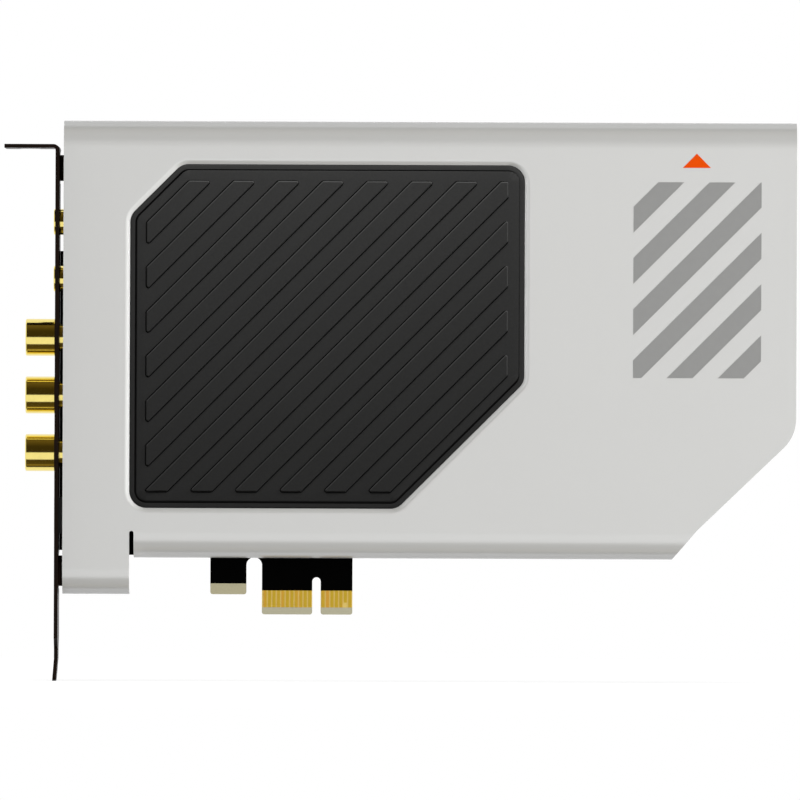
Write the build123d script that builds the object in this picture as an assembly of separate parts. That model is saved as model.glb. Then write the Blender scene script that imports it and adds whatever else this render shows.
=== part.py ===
from build123d import *
import os

# Sound card on a PCI Express x1 board: circuit board, steel slot bracket with its audio sockets,
# and a folded sheet shroud with a grooved insert over the component side.
# Millimetres. +X runs along the card away from the bracket, +Z is up, the shroud faces -Y.
# The origin is the middle of the key notch at the finger ends, in the board's mid-plane.

# Circuit board and its x1 edge tab
BOARD_T = 1.57
BOARD_INSET = 0.5
NOSE_BOTTOM = 14.25
NOSE_TOP = 81.3
NOSE_GAP = 0.05
TAB_LEFT = -12.22
TAB_RIGHT = 8.06
KEY_W = 1.9
KEY_TOP = 8.36
STUB_LEFT = -23.8
STUB_RIGHT = -15.72
STUB_BOTTOM = 4.48
ROOT_TOP = 12.78
TAB_CORNER_R = 0.55
BEVEL_H = 1.6
BEVEL_D = 0.58

# Edge contacts
CONTACT_PITCH = 1.0
CONTACT_W = 0.7
CONTACT_T = 0.05
CONTACT_TOP = 5.37
CONTACTS_BEFORE_KEY = 11
CONTACTS_AFTER_KEY = 7
CONTACT_FROM_KEY = 1.5
SHORT_CONTACT_CUT = 1.1

# Slot bracket
BRACKET_FACE = -58.6
BRACKET_T = 0.86
BRACKET_W = 18.42
BRACKET_BACK = 2.2
BRACKET_TOP = 105.07
BRACKET_H = 120.02
TONGUE_W = 10.19
TONGUE_L = 7.25
TONGUE_R = 1.5
SHOULDER_H = 2.4
CRANK_H = 5.0
CRANK_OUT = 0.4
BRACKET_TAB_W = 21.59
BRACKET_TAB_L = 11.43
TAB_NOTCH_W = 4.42
TAB_NOTCH_DEPTH = 5.6
TAB_NOTCH_FROM_FACE = 6.0
BEND_R = 0.45
EAR_L = 8.0
EAR_HOLE_FROM_END = 3.6
UPPER_EAR = (99.9, 5.8)
LOWER_EAR = (9.62, 6.84)
EAR_RELIEF = 0.6

# Folded shroud
SHEET_T = 1.0
SHROUD_GAP = 0.97
SHROUD_LENGTH = 163.87
SHROUD_BOTTOM = 12.73
SHROUD_H = 14.42
FLANGE_GAP = 0.3
FOLD_R = 5.8
LEG_W = 14.94
LEG_BOTTOM = 4.54
SLIT_W = 0.97
SLIT_TOP = 18.7
CORNER_H = 27.7
CORNER_RUN = 22.0
CORNER_FOLD_RUN = 5.6
CORNER_FOLD_H = 6.58
CORNER_R = 9.0

# Insert panel in the shroud's window
PANEL_LEFT_MARGIN = 14.91
PANEL_BOTTOM_MARGIN = 11.12
PANEL_TOP_MARGIN = 9.68
PANEL_W = 88.16
PANEL_H = 76.87
PANEL_TOP_CHAMFER = 11.5
PANEL_BOTTOM_CHAMFER = 28.3
PANEL_CORNER_R = 3.8
PANEL_FIT = 0.1
PANEL_LIP_W = 2.4
PANEL_LIP_T = 1.0
PANEL_SUNK = 0.7
RIM_BEVEL = 0.8
STRIPE_PITCH = 9.96
STRIPE_W = 4.98
STRIPE_MARGIN = 3.7
STRIPE_RAISE = 0.25
GROOVE_W = 0.36
GROOVE_INSET = 1.1
GROOVE_DEPTH = 0.3

# Sockets on the bracket
SOCKET_SETBACK = 0.57
HOLE_CLEARANCE = 0.2
FIT = 0.05
AXIS_H = 6.5
JACK_Z = 75.05
JACK_PITCH = 12.7
JACK_W = 11.6
JACK_L = 14.0
JACK_H = 11.0
JACK_STEP_L = 4.0
JACK_STEP_H = 3.5
COLLAR_D = 5.8
COLLAR_OUT = 0.45
COLLAR_SEAT = 6.0
COLLAR_BORE_D = 3.6
JACK_CHAMBER_L = 6.0
RCA_Z = 36.1
RCA_PITCH = 12.9
RCA_COUNT = 3
RCA_D = 8.3
RCA_OUT = 6.65
RCA_WALL = 0.7
RCA_NECK_D = 6.5
RCA_NECK_SEAT = 2.5
RCA_RIM = 0.35
RCA_RECESS = 0.4
RCA_PIN_BORE_D = 3.3
RCA_PIN_TUBE_D = 4.3
RCA_PIN_DEPTH = 8.4
RCA_BLOCK_L = 14.5
RCA_BLOCK_H = 12.0
RCA_BLOCK_END = 6.3
OPTICAL_Z = 22.05
OPTICAL_H = 5.4
OPTICAL_NOSE_W = 8.1
OPTICAL_BODY_W = 9.7
OPTICAL_BODY_L = 13.0
OPTICAL_OUT = 0.13
OPTICAL_MOUTH = 6.2
OPTICAL_MOUTH_CUT = 1.2
OPTICAL_DEPTH = 9.0
OPTICAL_LENS_D = 2.6
OPTICAL_LENS_DEPTH = 2.0
MOULD_EDGE = 0.4

# Standoffs and screws
STANDOFF_AF = 5.0
STANDOFF_BORE_DEPTH = 6.0
SCREW_D = 2.9
SCREW_HEAD_D = 5.4
SCREW_HEAD_H = 1.7
SCREW_HOLE_D = 3.3
SCREW_INTO_STANDOFF = 4.2
SCREW_PAST_EAR = 0.6
STANDOFF_FROM_EDGE = 6.1
STANDOFF_FROM_TOP = 10.0
STANDOFF_ABOVE_FOLD = 3.3
STANDOFF_IN_CHAMFER = (2.86, 0.5)

# Parts on the board, heights above the component face
LEAD_L = 1.0
LEAD_H = 0.55
PROCESSOR_W = 20.0
CONVERTER_W = 10.0
SMALL_CHIP = (5.0, 4.0)
CHIP_T = 1.6
CAPACITOR_D = 8.0
CAPACITOR_H = 11.5
CAPACITOR_LEAD_PITCH = 3.5
FILM_L = 7.2
FILM_W = 4.6
FILM_H = 7.5
RELAY_L = 14.0
RELAY_W = 9.0
RELAY_H = 5.6
COIL_W = 7.0
COIL_H = 4.2
REGULATOR_W = 6.5
REGULATOR_D = 3.5
OSCILLATOR = (7.0, 5.0)
OSCILLATOR_H = 1.5
CHIP_PART = (2.0, 1.25)
CHIP_PART_H = 0.8
HEADER_COLUMNS = 5
HEADER_PITCH = 2.54
HEADER_PIN = 0.64
HEADER_PIN_L = 6.0
HEADER_FROM_EDGE = 7.5
HEADER_Z = 78.0
LEAD_END = 0.6
LEAD_END_OUT = 1.1

# Places on the board: columns along X, rows along Z or down from its top edge, and single chips as (x, z)
CAPACITOR_COLUMNS = (14.0, 28.0)
CAPACITOR_FROM_TOP = (28.9, 16.9)
OUTPUT_FROM_TOP = (75.9, 66.9, 57.9, 48.9)
FILM_COLUMN = -31.0
OP_AMP_COLUMN = -18.0
RELAY_COLUMN = -29.0
RELAY_FROM_TOP = (35.9, 23.9)
POWER_ROWS = (32.0, 44.0, 56.0)
COIL_COLUMN = 62.0
REGULATOR_FROM_COIL = 14.0
OSCILLATOR_COLUMN = 46.0
OSCILLATOR_ROWS = (50.0, 62.0)
CHIP_PART_COLUMNS = (-10.0, 12.0, 15.5, 41.0)
CHIP_PART_ROWS = (32.0, 35.5, 39.0)
CHIP_PART_FROM_TOP = 39.9
PROCESSOR_AT = (28.0, 56.0)
BUS_CHIP_AT = (-2.0, 25.0)
OUTPUT_CONVERTER_AT = (-3.0, 48.0)
INPUT_CONVERTER_AT = (-3.0, 63.0)
AMPLIFIER_AT = (-8.0, 86.0)
FLASH_AT = (46.0, 36.0)
JACK_PINS = [(2.0, -4.0), (2.0, 4.0), (7.5, -4.0), (7.5, 4.0), (12.0, 0.0)]
RCA_PINS = [(3.0, -3.0), (3.0, 3.0), (11.0, 0.0)]
OPTICAL_PINS = [(11.0, -2.54), (11.0, 0.0), (11.0, 2.54)]

# Levels and edges that follow from the sizes above
BOARD_FACE = -BOARD_T / 2
BOARD_REAR = BOARD_T / 2
BRACKET_INNER = BRACKET_FACE + BRACKET_T
TONGUE_TIP = BRACKET_TOP - BRACKET_H
BRACKET_FRONT = BRACKET_BACK - BRACKET_W
BRACKET_MID = BRACKET_BACK - BRACKET_W / 2
SHOULDER_Z = TONGUE_TIP + TONGUE_L
SHROUD_LEFT = BRACKET_INNER + SHROUD_GAP
SHROUD_RIGHT = SHROUD_LEFT + SHROUD_LENGTH
SHROUD_FRONT = BOARD_FACE - SHROUD_H
SHROUD_INSIDE = SHROUD_FRONT + SHEET_T
FLANGE_END = BOARD_FACE - BRACKET_T - FLANGE_GAP
LEG_RIGHT = SHROUD_LEFT + LEG_W
BOARD_LEFT = SHROUD_LEFT + BOARD_INSET
BOARD_RIGHT = SHROUD_RIGHT - BOARD_INSET
BOARD_BOTTOM = SHROUD_BOTTOM + BOARD_INSET
PANEL_LEFT = SHROUD_LEFT + PANEL_LEFT_MARGIN
PANEL_BOTTOM = SHROUD_BOTTOM + PANEL_BOTTOM_MARGIN
PANEL_RIGHT = PANEL_LEFT + PANEL_W
PANEL_TOP = PANEL_BOTTOM + PANEL_H
SHROUD_TOP = PANEL_TOP + PANEL_TOP_MARGIN
BOARD_TOP = SHROUD_TOP - BOARD_INSET
PANEL_FACE = SHROUD_FRONT + PANEL_SUNK
SOCKET_FRONT = SHROUD_LEFT + SOCKET_SETBACK
SOCKET_Y = BOARD_FACE - AXIS_H
OPTICAL_Y = BOARD_FACE - OPTICAL_H
EAR_END = BRACKET_INNER + EAR_L
EAR_HOLE_X = EAR_END - EAR_HOLE_FROM_END
JACK_CENTRES = [JACK_Z, JACK_Z + JACK_PITCH]
RCA_CENTRES = [RCA_Z + RCA_PITCH * k for k in range(RCA_COUNT)]
RCA_NECK_END = SOCKET_FRONT + RCA_NECK_SEAT
CONTACT_XS = [-CONTACT_FROM_KEY - CONTACT_PITCH * k for k in reversed(range(CONTACTS_BEFORE_KEY))]
CONTACT_XS += [CONTACT_FROM_KEY + CONTACT_PITCH * k for k in range(CONTACTS_AFTER_KEY)]

# Places of standoffs and board parts as (x, z)
STANDOFF_SPOTS = [
    (PANEL_LEFT + STANDOFF_IN_CHAMFER[0], PANEL_TOP - STANDOFF_IN_CHAMFER[1]),
    (LEG_RIGHT - STANDOFF_AF, LEG_BOTTOM + FOLD_R + STANDOFF_ABOVE_FOLD),
    (SHROUD_RIGHT - STANDOFF_FROM_EDGE, SHROUD_TOP - STANDOFF_FROM_TOP),
    (SHROUD_RIGHT - CORNER_RUN - STANDOFF_FROM_EDGE, SHROUD_BOTTOM + FOLD_R + STANDOFF_FROM_EDGE),
]
EAR_SPOTS = [(EAR_HOLE_X, UPPER_EAR[0]), (EAR_HOLE_X, LOWER_EAR[0])]
CAPACITOR_SPOTS = [(x, BOARD_TOP - drop) for drop in CAPACITOR_FROM_TOP for x in CAPACITOR_COLUMNS]
FILM_SPOTS = [(FILM_COLUMN, BOARD_TOP - drop) for drop in OUTPUT_FROM_TOP]
OP_AMP_SPOTS = [(OP_AMP_COLUMN, BOARD_TOP - drop) for drop in OUTPUT_FROM_TOP]
RELAY_SPOTS = [(RELAY_COLUMN, BOARD_TOP - drop) for drop in RELAY_FROM_TOP]
COIL_SPOTS = [(COIL_COLUMN, z) for z in POWER_ROWS]
REGULATOR_SPOTS = [(COIL_COLUMN + REGULATOR_FROM_COIL, z) for z in POWER_ROWS]
OSCILLATOR_SPOTS = [(OSCILLATOR_COLUMN, z) for z in OSCILLATOR_ROWS]
CHIP_PART_LEVELS = (*CHIP_PART_ROWS, BOARD_TOP - CHIP_PART_FROM_TOP)
CHIP_PART_SPOTS = [(x, z) for x in CHIP_PART_COLUMNS for z in CHIP_PART_LEVELS]


def depth_plane(y):
    """Drawing plane at depth y: its x is X, its y is Z, and extrusions grow towards the viewer."""
    return Plane.XZ.offset(-y)


def slab(outline, y_rear, y_front):
    """Outline drawn in X and Z, thick from y_rear forward to y_front."""
    return extrude(depth_plane(y_rear) * outline, y_rear - y_front, dir=(0, -1, 0))


def along_x(outline, x0, x1):
    """Outline drawn in Y and Z, extruded along X from x0 to x1."""
    return extrude(Plane.YZ.offset(x0) * outline, x1 - x0, dir=(1, 0, 0))


def rect(x0, x1, z0, z1):
    """Rectangle outline between two corners."""
    return Pos((x0 + x1) / 2, (z0 + z1) / 2) * Rectangle(x1 - x0, z1 - z0)


def block(x0, x1, y0, y1, z0, z1):
    """Box between two corners."""
    return Pos((x0 + x1) / 2, (y0 + y1) / 2, (z0 + z1) / 2) * Box(x1 - x0, y1 - y0, z1 - z0)


def on_board(x, z, length, width, height):
    """Box that stands on the board's component face, centred on (x, z)."""
    box = rect(x - length / 2, x + length / 2, z - width / 2, z + width / 2)
    return slab(box, BOARD_FACE, BOARD_FACE - height)


def rod(x0, x1, diameter, y, z):
    """Round bar along X."""
    return Pos((x0 + x1) / 2, y, z) * Rot(0, 90, 0) * Cylinder(diameter / 2, x1 - x0)


def turned(profile, y, z):
    """Solid turned about an axis along X, from (x, radius) points."""
    return Pos(0, y, z) * revolve(Polygon(*profile, align=None), Axis.X)


def board_hole(spot, diameter):
    """Cutter for a round hole through the board at (x, z)."""
    return slab(Pos(*spot) * Circle(diameter / 2), BOARD_REAR + BOARD_T, BOARD_FACE - BOARD_T)


def corner_cut(inset):
    """Region outside the card's slanted lower right corner, moved in by inset."""
    right = SHROUD_RIGHT - inset
    top = SHROUD_BOTTOM + CORNER_H
    fold_x = SHROUD_RIGHT - CORNER_RUN - inset
    foot_x = fold_x - CORNER_FOLD_RUN
    below = SHROUD_BOTTOM - SHROUD_H
    outside = SHROUD_RIGHT + SHROUD_H
    cut = Polygon(
        (right, top),
        (fold_x, SHROUD_BOTTOM + CORNER_FOLD_H),
        (foot_x, SHROUD_BOTTOM),
        (foot_x, below),
        (outside, below),
        (outside, SHROUD_TOP + SHROUD_H),
        (right, SHROUD_TOP + SHROUD_H),
        align=None,
    )
    bend = [v for v in cut.vertices() if abs(v.X - right) < FIT and abs(v.Y - top) < FIT]
    return fillet(bend, CORNER_R)


def panel_outline(grow):
    """Outline of the shroud's window, grown by grow: a rectangle with two chamfered corners."""
    outline = Polygon(
        (PANEL_LEFT, PANEL_BOTTOM),
        (PANEL_RIGHT - PANEL_BOTTOM_CHAMFER, PANEL_BOTTOM),
        (PANEL_RIGHT, PANEL_BOTTOM + PANEL_BOTTOM_CHAMFER),
        (PANEL_RIGHT, PANEL_TOP),
        (PANEL_LEFT + PANEL_TOP_CHAMFER, PANEL_TOP),
        (PANEL_LEFT, PANEL_TOP - PANEL_TOP_CHAMFER),
        align=None,
    )
    outline = fillet(outline.vertices(), PANEL_CORNER_R)
    return offset(outline, grow) if grow else outline


def channel(x0, x1, z0, z1):
    """Sheet folded to a C: a front face, two round folds and two flanges, open behind and at the ends."""
    body = block(x0, x1, SHROUD_FRONT, FLANGE_END, z0, z1)
    folds = body.edges().filter_by(Axis.X).group_by(Axis.Y)[0]
    body = fillet(folds, FOLD_R)
    openings = list(body.faces().filter_by(Axis.X)) + [body.faces().sort_by(Axis.Y)[-1]]
    return offset(body, -SHEET_T, openings=openings)


def front_shroud():
    """Main channel and its deeper leg at the bracket, slit, slanted corner and bevelled window."""
    shroud = channel(LEG_RIGHT, SHROUD_RIGHT, SHROUD_BOTTOM, SHROUD_TOP)
    shroud += channel(SHROUD_LEFT, LEG_RIGHT, LEG_BOTTOM, SHROUD_TOP)
    slit_mid = LEG_RIGHT + SLIT_W / 2
    slit = rect(LEG_RIGHT, LEG_RIGHT + SLIT_W, LEG_BOTTOM, SLIT_TOP - SLIT_W / 2)
    slit += Pos(slit_mid, SLIT_TOP - SLIT_W / 2) * Circle(SLIT_W / 2)
    shroud -= slab(slit, BOARD_FACE, SHROUD_FRONT - SHEET_T)
    shroud -= slab(corner_cut(0), BOARD_FACE, SHROUD_FRONT - SHEET_T)
    shroud -= slab(panel_outline(0), SHROUD_INSIDE + SHEET_T, SHROUD_FRONT - SHEET_T)
    rim = shroud.faces().sort_by(Axis.Y)[0].inner_wires()[0].edges()
    return chamfer(rim, RIM_BEVEL)


def insert_panel():
    """Plate that fills the window from behind, with a border groove and raised slanting stripes."""
    panel = slab(panel_outline(-PANEL_FIT), SHROUD_INSIDE, PANEL_FACE)
    panel += slab(panel_outline(PANEL_LIP_W), SHROUD_INSIDE + PANEL_LIP_T, SHROUD_INSIDE)
    groove = panel_outline(-GROOVE_INSET) - panel_outline(-GROOVE_INSET - GROOVE_W)
    panel -= slab(groove, PANEL_FACE + GROOVE_DEPTH, PANEL_FACE - SHEET_T)
    field = panel_outline(-STRIPE_MARGIN)
    half_root = 0.5 ** 0.5
    across_start = (PANEL_LEFT + PANEL_TOP_CHAMFER - PANEL_TOP) * half_root
    across_span = (PANEL_W - PANEL_BOTTOM_CHAMFER + PANEL_H - PANEL_TOP_CHAMFER) * half_root
    width = STRIPE_W * half_root
    pitch = STRIPE_PITCH * half_root
    count = int((across_span - STRIPE_MARGIN * 2 - width) / pitch) + 1
    first = across_start + (across_span - pitch * (count - 1)) / 2
    length = PANEL_W + PANEL_H
    stripes = []
    for k in range(count):
        bar = Pos(length * half_root / 2, -first - pitch * k) * Rectangle(length, width)
        stripes.append(slab(field & Rot(0, 0, 45) * bar, PANEL_FACE, PANEL_FACE - STRIPE_RAISE))
    return panel + stripes


def main_board():
    """Board outline with leg, bracket-side nose, stub, edge tab and key notch, and its screw holes."""
    outline = rect(BOARD_LEFT, BOARD_RIGHT, BOARD_BOTTOM, BOARD_TOP)
    outline -= corner_cut(BOARD_INSET)
    outline += rect(BRACKET_INNER + NOSE_GAP, BOARD_LEFT, NOSE_BOTTOM, NOSE_TOP)
    outline += rect(BOARD_LEFT, LEG_RIGHT - BOARD_INSET, LEG_BOTTOM + BOARD_INSET, BOARD_BOTTOM)
    outline += rect(STUB_LEFT, TAB_RIGHT, STUB_BOTTOM, BOARD_BOTTOM)
    outline += rect(TAB_LEFT, TAB_RIGHT, 0, STUB_BOTTOM)
    root_r = (TAB_LEFT - STUB_RIGHT) / 2
    outline -= rect(STUB_RIGHT, TAB_LEFT, 0, ROOT_TOP - root_r)
    outline -= Pos(STUB_RIGHT + root_r, ROOT_TOP - root_r) * Circle(root_r)
    outline -= rect(-KEY_W / 2, KEY_W / 2, 0, KEY_TOP - KEY_W / 2)
    outline -= Pos(0, KEY_TOP - KEY_W / 2) * Circle(KEY_W / 2)
    corners = list(outline.vertices().group_by(Axis.Y)[0])
    stub_low = [v for v in outline.vertices() if abs(v.Y - STUB_BOTTOM) < FIT]
    corners += [v for v in stub_low if v.X < TAB_LEFT]
    outline = fillet(corners, TAB_CORNER_R)
    board = slab(outline, BOARD_REAR, BOARD_FACE)
    for side in (-1, 1):
        face = side * BOARD_T / 2
        wedge = Polygon((face, 0), (face, BEVEL_H), (face - side * BEVEL_D, 0), align=None)
        board -= along_x(wedge, TAB_LEFT, TAB_RIGHT)
    for spot in STANDOFF_SPOTS + EAR_SPOTS:
        board -= board_hole(spot, SCREW_HOLE_D)
    return board


def edge_contacts():
    """Gold fingers on both faces; one presence contact a side is shorter than the rest."""
    fingers = []
    for face, outward, short in ((BOARD_FACE, -1, len(CONTACT_XS) - 2), (BOARD_REAR, 1, 0)):
        for k, x in enumerate(CONTACT_XS):
            low = BEVEL_H + (SHORT_CONTACT_CUT if k == short else 0)
            levels = sorted((face, face + outward * CONTACT_T))
            fingers.append(block(x - CONTACT_W / 2, x + CONTACT_W / 2, *levels, low, CONTACT_TOP))
    return Compound(fingers)


def bracket_ear(ear):
    """Ear folded in from the bracket's rear edge to lie on the board's component face."""
    centre, height = ear
    front = BOARD_FACE - BRACKET_T
    strip = Polygon(
        (BRACKET_FACE, front - BEND_R),
        (BRACKET_FACE, BOARD_FACE),
        (EAR_END, BOARD_FACE),
        (EAR_END, front),
        (BRACKET_INNER, front),
        (BRACKET_INNER, front - BEND_R),
        align=None,
    )
    outer = strip.vertices().filter_by_position(Axis.X, BRACKET_FACE, BRACKET_FACE).sort_by(Axis.Y)[-1]
    strip = fillet([outer], BEND_R + BRACKET_T)
    inner = [v for v in strip.vertices() if abs(v.X - BRACKET_INNER) < FIT and abs(v.Y - front) < FIT]
    strip = fillet(inner, BEND_R)
    return Pos(0, 0, centre - height / 2) * extrude(strip, height, dir=(0, 0, 1))


def io_bracket():
    """Steel bracket bent from one strip: top tab with screw notch, socket holes, ears and tongue."""
    tab_end = BRACKET_FACE - BRACKET_TAB_L
    tab_under = BRACKET_TOP - BRACKET_T
    crank_z = TONGUE_TIP + CRANK_H
    strip = Polygon(
        (tab_end, BRACKET_TOP),
        (BRACKET_INNER, BRACKET_TOP),
        (BRACKET_INNER, crank_z),
        (BRACKET_INNER - CRANK_OUT, TONGUE_TIP),
        (BRACKET_FACE - CRANK_OUT, TONGUE_TIP),
        (BRACKET_FACE, crank_z),
        (BRACKET_FACE, tab_under),
        (tab_end, tab_under),
        align=None,
    )
    outer = [v for v in strip.vertices() if v.X > BRACKET_INNER - FIT and v.Y > tab_under]
    strip = fillet(outer, BEND_R + BRACKET_T)
    inner = [v for v in strip.vertices() if abs(v.X - BRACKET_FACE) < FIT and abs(v.Y - tab_under) < FIT]
    strip = fillet(inner, BEND_R)
    tab_back = BRACKET_FRONT + BRACKET_TAB_W
    bracket = slab(strip, tab_back, BRACKET_FRONT)

    half = TONGUE_W / 2
    tongue = rect(BRACKET_MID - half, BRACKET_MID + half, TONGUE_TIP, SHOULDER_Z + SHOULDER_H)
    tongue = fillet(tongue.vertices().group_by(Axis.Y)[0], TONGUE_R)
    plate = Polygon(
        (BRACKET_MID - half, SHOULDER_Z),
        (BRACKET_MID + half, SHOULDER_Z),
        (BRACKET_BACK, SHOULDER_Z + SHOULDER_H),
        (BRACKET_BACK, BRACKET_TOP),
        (BRACKET_FRONT, BRACKET_TOP),
        (BRACKET_FRONT, SHOULDER_Z + SHOULDER_H),
        align=None,
    )
    outline = plate + tongue
    outline += rect(BRACKET_FRONT, tab_back, tab_under - BEND_R, BRACKET_TOP)
    bracket &= along_x(outline, tab_end, BRACKET_INNER)

    notch_x = BRACKET_FACE - TAB_NOTCH_FROM_FACE
    notch_end = tab_back - TAB_NOTCH_DEPTH + TAB_NOTCH_W / 2
    under = tab_under - BRACKET_T
    over = BRACKET_TOP + BRACKET_T
    bracket -= block(notch_x - TAB_NOTCH_W / 2, notch_x + TAB_NOTCH_W / 2, notch_end, tab_back, under, over)
    bracket -= Pos(notch_x, notch_end, tab_under) * Cylinder(TAB_NOTCH_W / 2, over - under)

    for centre, height in (UPPER_EAR, LOWER_EAR):
        reach = height / 2 + EAR_RELIEF
        rear = BOARD_FACE - BRACKET_T - BEND_R
        window = (BRACKET_FACE - BRACKET_T, BRACKET_INNER + BRACKET_T)
        bracket -= block(*window, rear, BRACKET_BACK, centre - reach, centre + reach)
        bracket += bracket_ear((centre, height))
    for spot in EAR_SPOTS:
        bracket -= board_hole(spot, SCREW_D + FIT * 2)

    through = (BRACKET_FACE - BRACKET_T, BRACKET_INNER + BRACKET_T)
    for z in JACK_CENTRES:
        bracket -= rod(*through, COLLAR_D + HOLE_CLEARANCE * 2, SOCKET_Y, z)
    for z in RCA_CENTRES:
        bracket -= rod(*through, RCA_NECK_D + HOLE_CLEARANCE * 2, SOCKET_Y, z)
    reach = OPTICAL_NOSE_W / 2 + HOLE_CLEARANCE
    optical = (OPTICAL_Y - reach, OPTICAL_Y + reach, OPTICAL_Z - reach, OPTICAL_Z + reach)
    return bracket - block(*through, *optical)


def jack_body(z):
    """Moulded 3.5 mm jack body with a stepped back, bored for its collar and the plug's tip behind it."""
    rear = SOCKET_FRONT + JACK_L
    top = BOARD_FACE - JACK_H
    body = block(SOCKET_FRONT, rear, top, BOARD_FACE, z - JACK_W / 2, z + JACK_W / 2)
    body -= block(rear - JACK_STEP_L, rear, top, top + JACK_STEP_H, z - JACK_W / 2, z + JACK_W / 2)
    body = chamfer(body.edges().filter_by(Axis.X), MOULD_EDGE)
    chamber_end = SOCKET_FRONT + COLLAR_SEAT + JACK_CHAMBER_L
    return body - rod(SOCKET_FRONT, chamber_end, COLLAR_D + FIT * 2, SOCKET_Y, z)


def jack_collar(z):
    """Gold sleeve of a 3.5 mm jack, through the bracket and into the body."""
    mouth = BRACKET_FACE - COLLAR_OUT
    end = SOCKET_FRONT + COLLAR_SEAT
    edge = COLLAR_OUT / 2
    profile = [
        (mouth, COLLAR_BORE_D / 2),
        (mouth, COLLAR_D / 2 - edge),
        (mouth + edge, COLLAR_D / 2),
        (end, COLLAR_D / 2),
        (end, COLLAR_BORE_D / 2),
    ]
    return turned(profile, SOCKET_Y, z)


def rca_housing():
    """Moulded block behind the phono sockets, bored for each neck."""
    low = RCA_CENTRES[0] - RCA_BLOCK_END
    high = RCA_CENTRES[-1] + RCA_BLOCK_END
    rear = SOCKET_FRONT + RCA_BLOCK_L
    body = block(SOCKET_FRONT, rear, BOARD_FACE - RCA_BLOCK_H, BOARD_FACE, low, high)
    body = chamfer(body.edges().filter_by(Axis.X), MOULD_EDGE)
    for z in RCA_CENTRES:
        body -= rod(SOCKET_FRONT, RCA_NECK_END + FIT, RCA_NECK_D + FIT * 2, SOCKET_Y, z)
    return body


def rca_pieces(z):
    """Turned shell, insulator and centre contact of one phono socket."""
    mouth = BRACKET_FACE - RCA_OUT
    cup = BRACKET_FACE - RCA_WALL
    cup_r = RCA_D / 2 - RCA_WALL
    neck_r = RCA_NECK_D / 2
    throat_r = neck_r - RCA_WALL
    pin_r = RCA_PIN_TUBE_D / 2
    front = mouth + RCA_RECESS
    shell = [
        (mouth, cup_r),
        (mouth, RCA_D / 2 - RCA_RIM),
        (mouth + RCA_RIM, RCA_D / 2),
        (BRACKET_FACE, RCA_D / 2),
        (BRACKET_FACE, neck_r),
        (RCA_NECK_END, neck_r),
        (RCA_NECK_END, throat_r),
        (cup, throat_r),
        (cup, cup_r),
    ]
    insulator = [
        (front, pin_r + FIT),
        (front, cup_r - FIT),
        (cup, cup_r - FIT),
        (cup, pin_r + FIT),
    ]
    bore_r = RCA_PIN_BORE_D / 2
    contact = [
        (front, bore_r),
        (front, pin_r),
        (RCA_NECK_END, pin_r),
        (RCA_NECK_END, 0),
        (front + RCA_PIN_DEPTH, 0),
        (front + RCA_PIN_DEPTH, bore_r),
    ]
    return [turned(profile, SOCKET_Y, z) for profile in (shell, insulator, contact)]


def optical_socket():
    """Square optical socket: nose in the bracket, body on the board, keyed mouth and fibre hole."""
    nose = OPTICAL_NOSE_W / 2
    half = OPTICAL_BODY_W / 2
    mouth_x = BRACKET_FACE - OPTICAL_OUT
    rear = SOCKET_FRONT + OPTICAL_BODY_L
    roof = OPTICAL_Y - half
    body = block(SOCKET_FRONT, rear, roof, BOARD_FACE, OPTICAL_Z - half, OPTICAL_Z + half)
    body = chamfer(body.edges().filter_by(Axis.X), MOULD_EDGE)
    sides = (OPTICAL_Y - nose, OPTICAL_Y + nose, OPTICAL_Z - nose, OPTICAL_Z + nose)
    body += block(mouth_x, SOCKET_FRONT, *sides)
    mouth = Rectangle(OPTICAL_MOUTH, OPTICAL_MOUTH)
    mouth = chamfer(mouth.vertices().group_by(Axis.X)[0], OPTICAL_MOUTH_CUT)
    body -= along_x(Pos(OPTICAL_Y, OPTICAL_Z) * mouth, mouth_x, mouth_x + OPTICAL_DEPTH)
    lens = mouth_x + OPTICAL_DEPTH
    return body - rod(lens, lens + OPTICAL_LENS_DEPTH, OPTICAL_LENS_D, OPTICAL_Y, OPTICAL_Z)


def shroud_standoffs():
    """Hexagonal posts pressed into the shroud's inside and bored for screws from the board's rear."""
    posts = []
    for spot in STANDOFF_SPOTS:
        hexagon = RegularPolygon(STANDOFF_AF / 2, 6, major_radius=False)
        post = slab(Pos(*spot) * hexagon, BOARD_FACE, SHROUD_INSIDE)
        bore = Circle(SCREW_D / 2 + FIT)
        posts.append(post - slab(Pos(*spot) * bore, BOARD_FACE, BOARD_FACE - STANDOFF_BORE_DEPTH))
    return Compound(posts)


def screws(spots, reach):
    """Pan-head screws in from the board's rear face, their shanks reach past its front."""
    base = (Align.CENTER, Align.CENTER, Align.MIN)
    head = Cone(SCREW_HEAD_D / 2, SCREW_HEAD_D / 2 - SCREW_HEAD_H / 2, SCREW_HEAD_H, align=base)
    length = BOARD_T + reach
    screw = head + Pos(0, 0, -length / 2) * Cylinder(SCREW_D / 2, length)
    return Compound([Pos(x, BOARD_REAR, z) * Rot(-90, 0, 0) * screw for x, z in spots])


def chip(x, z, length, width):
    """Leadless moulded chip."""
    return on_board(x, z, length, width, CHIP_T)


def electrolytic(x, z):
    """Can capacitor standing on the board."""
    return slab(Pos(x, z) * Circle(CAPACITOR_D / 2), BOARD_FACE, BOARD_FACE - CAPACITOR_H)


def regulator(x, z):
    """Small power package with a heat tab on one side and three leads on the other."""
    body = on_board(x, z, REGULATOR_W, REGULATOR_D, CHIP_T)
    tab = on_board(x, z + REGULATOR_D / 2, REGULATOR_W / 2, LEAD_L * 3, LEAD_H)
    pitch = REGULATOR_W / 3
    leads = [on_board(x + pitch * k, z - REGULATOR_D / 2, pitch / 3, LEAD_L * 3, LEAD_H) for k in (-1, 0, 1)]
    return body + [tab] + leads


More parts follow.
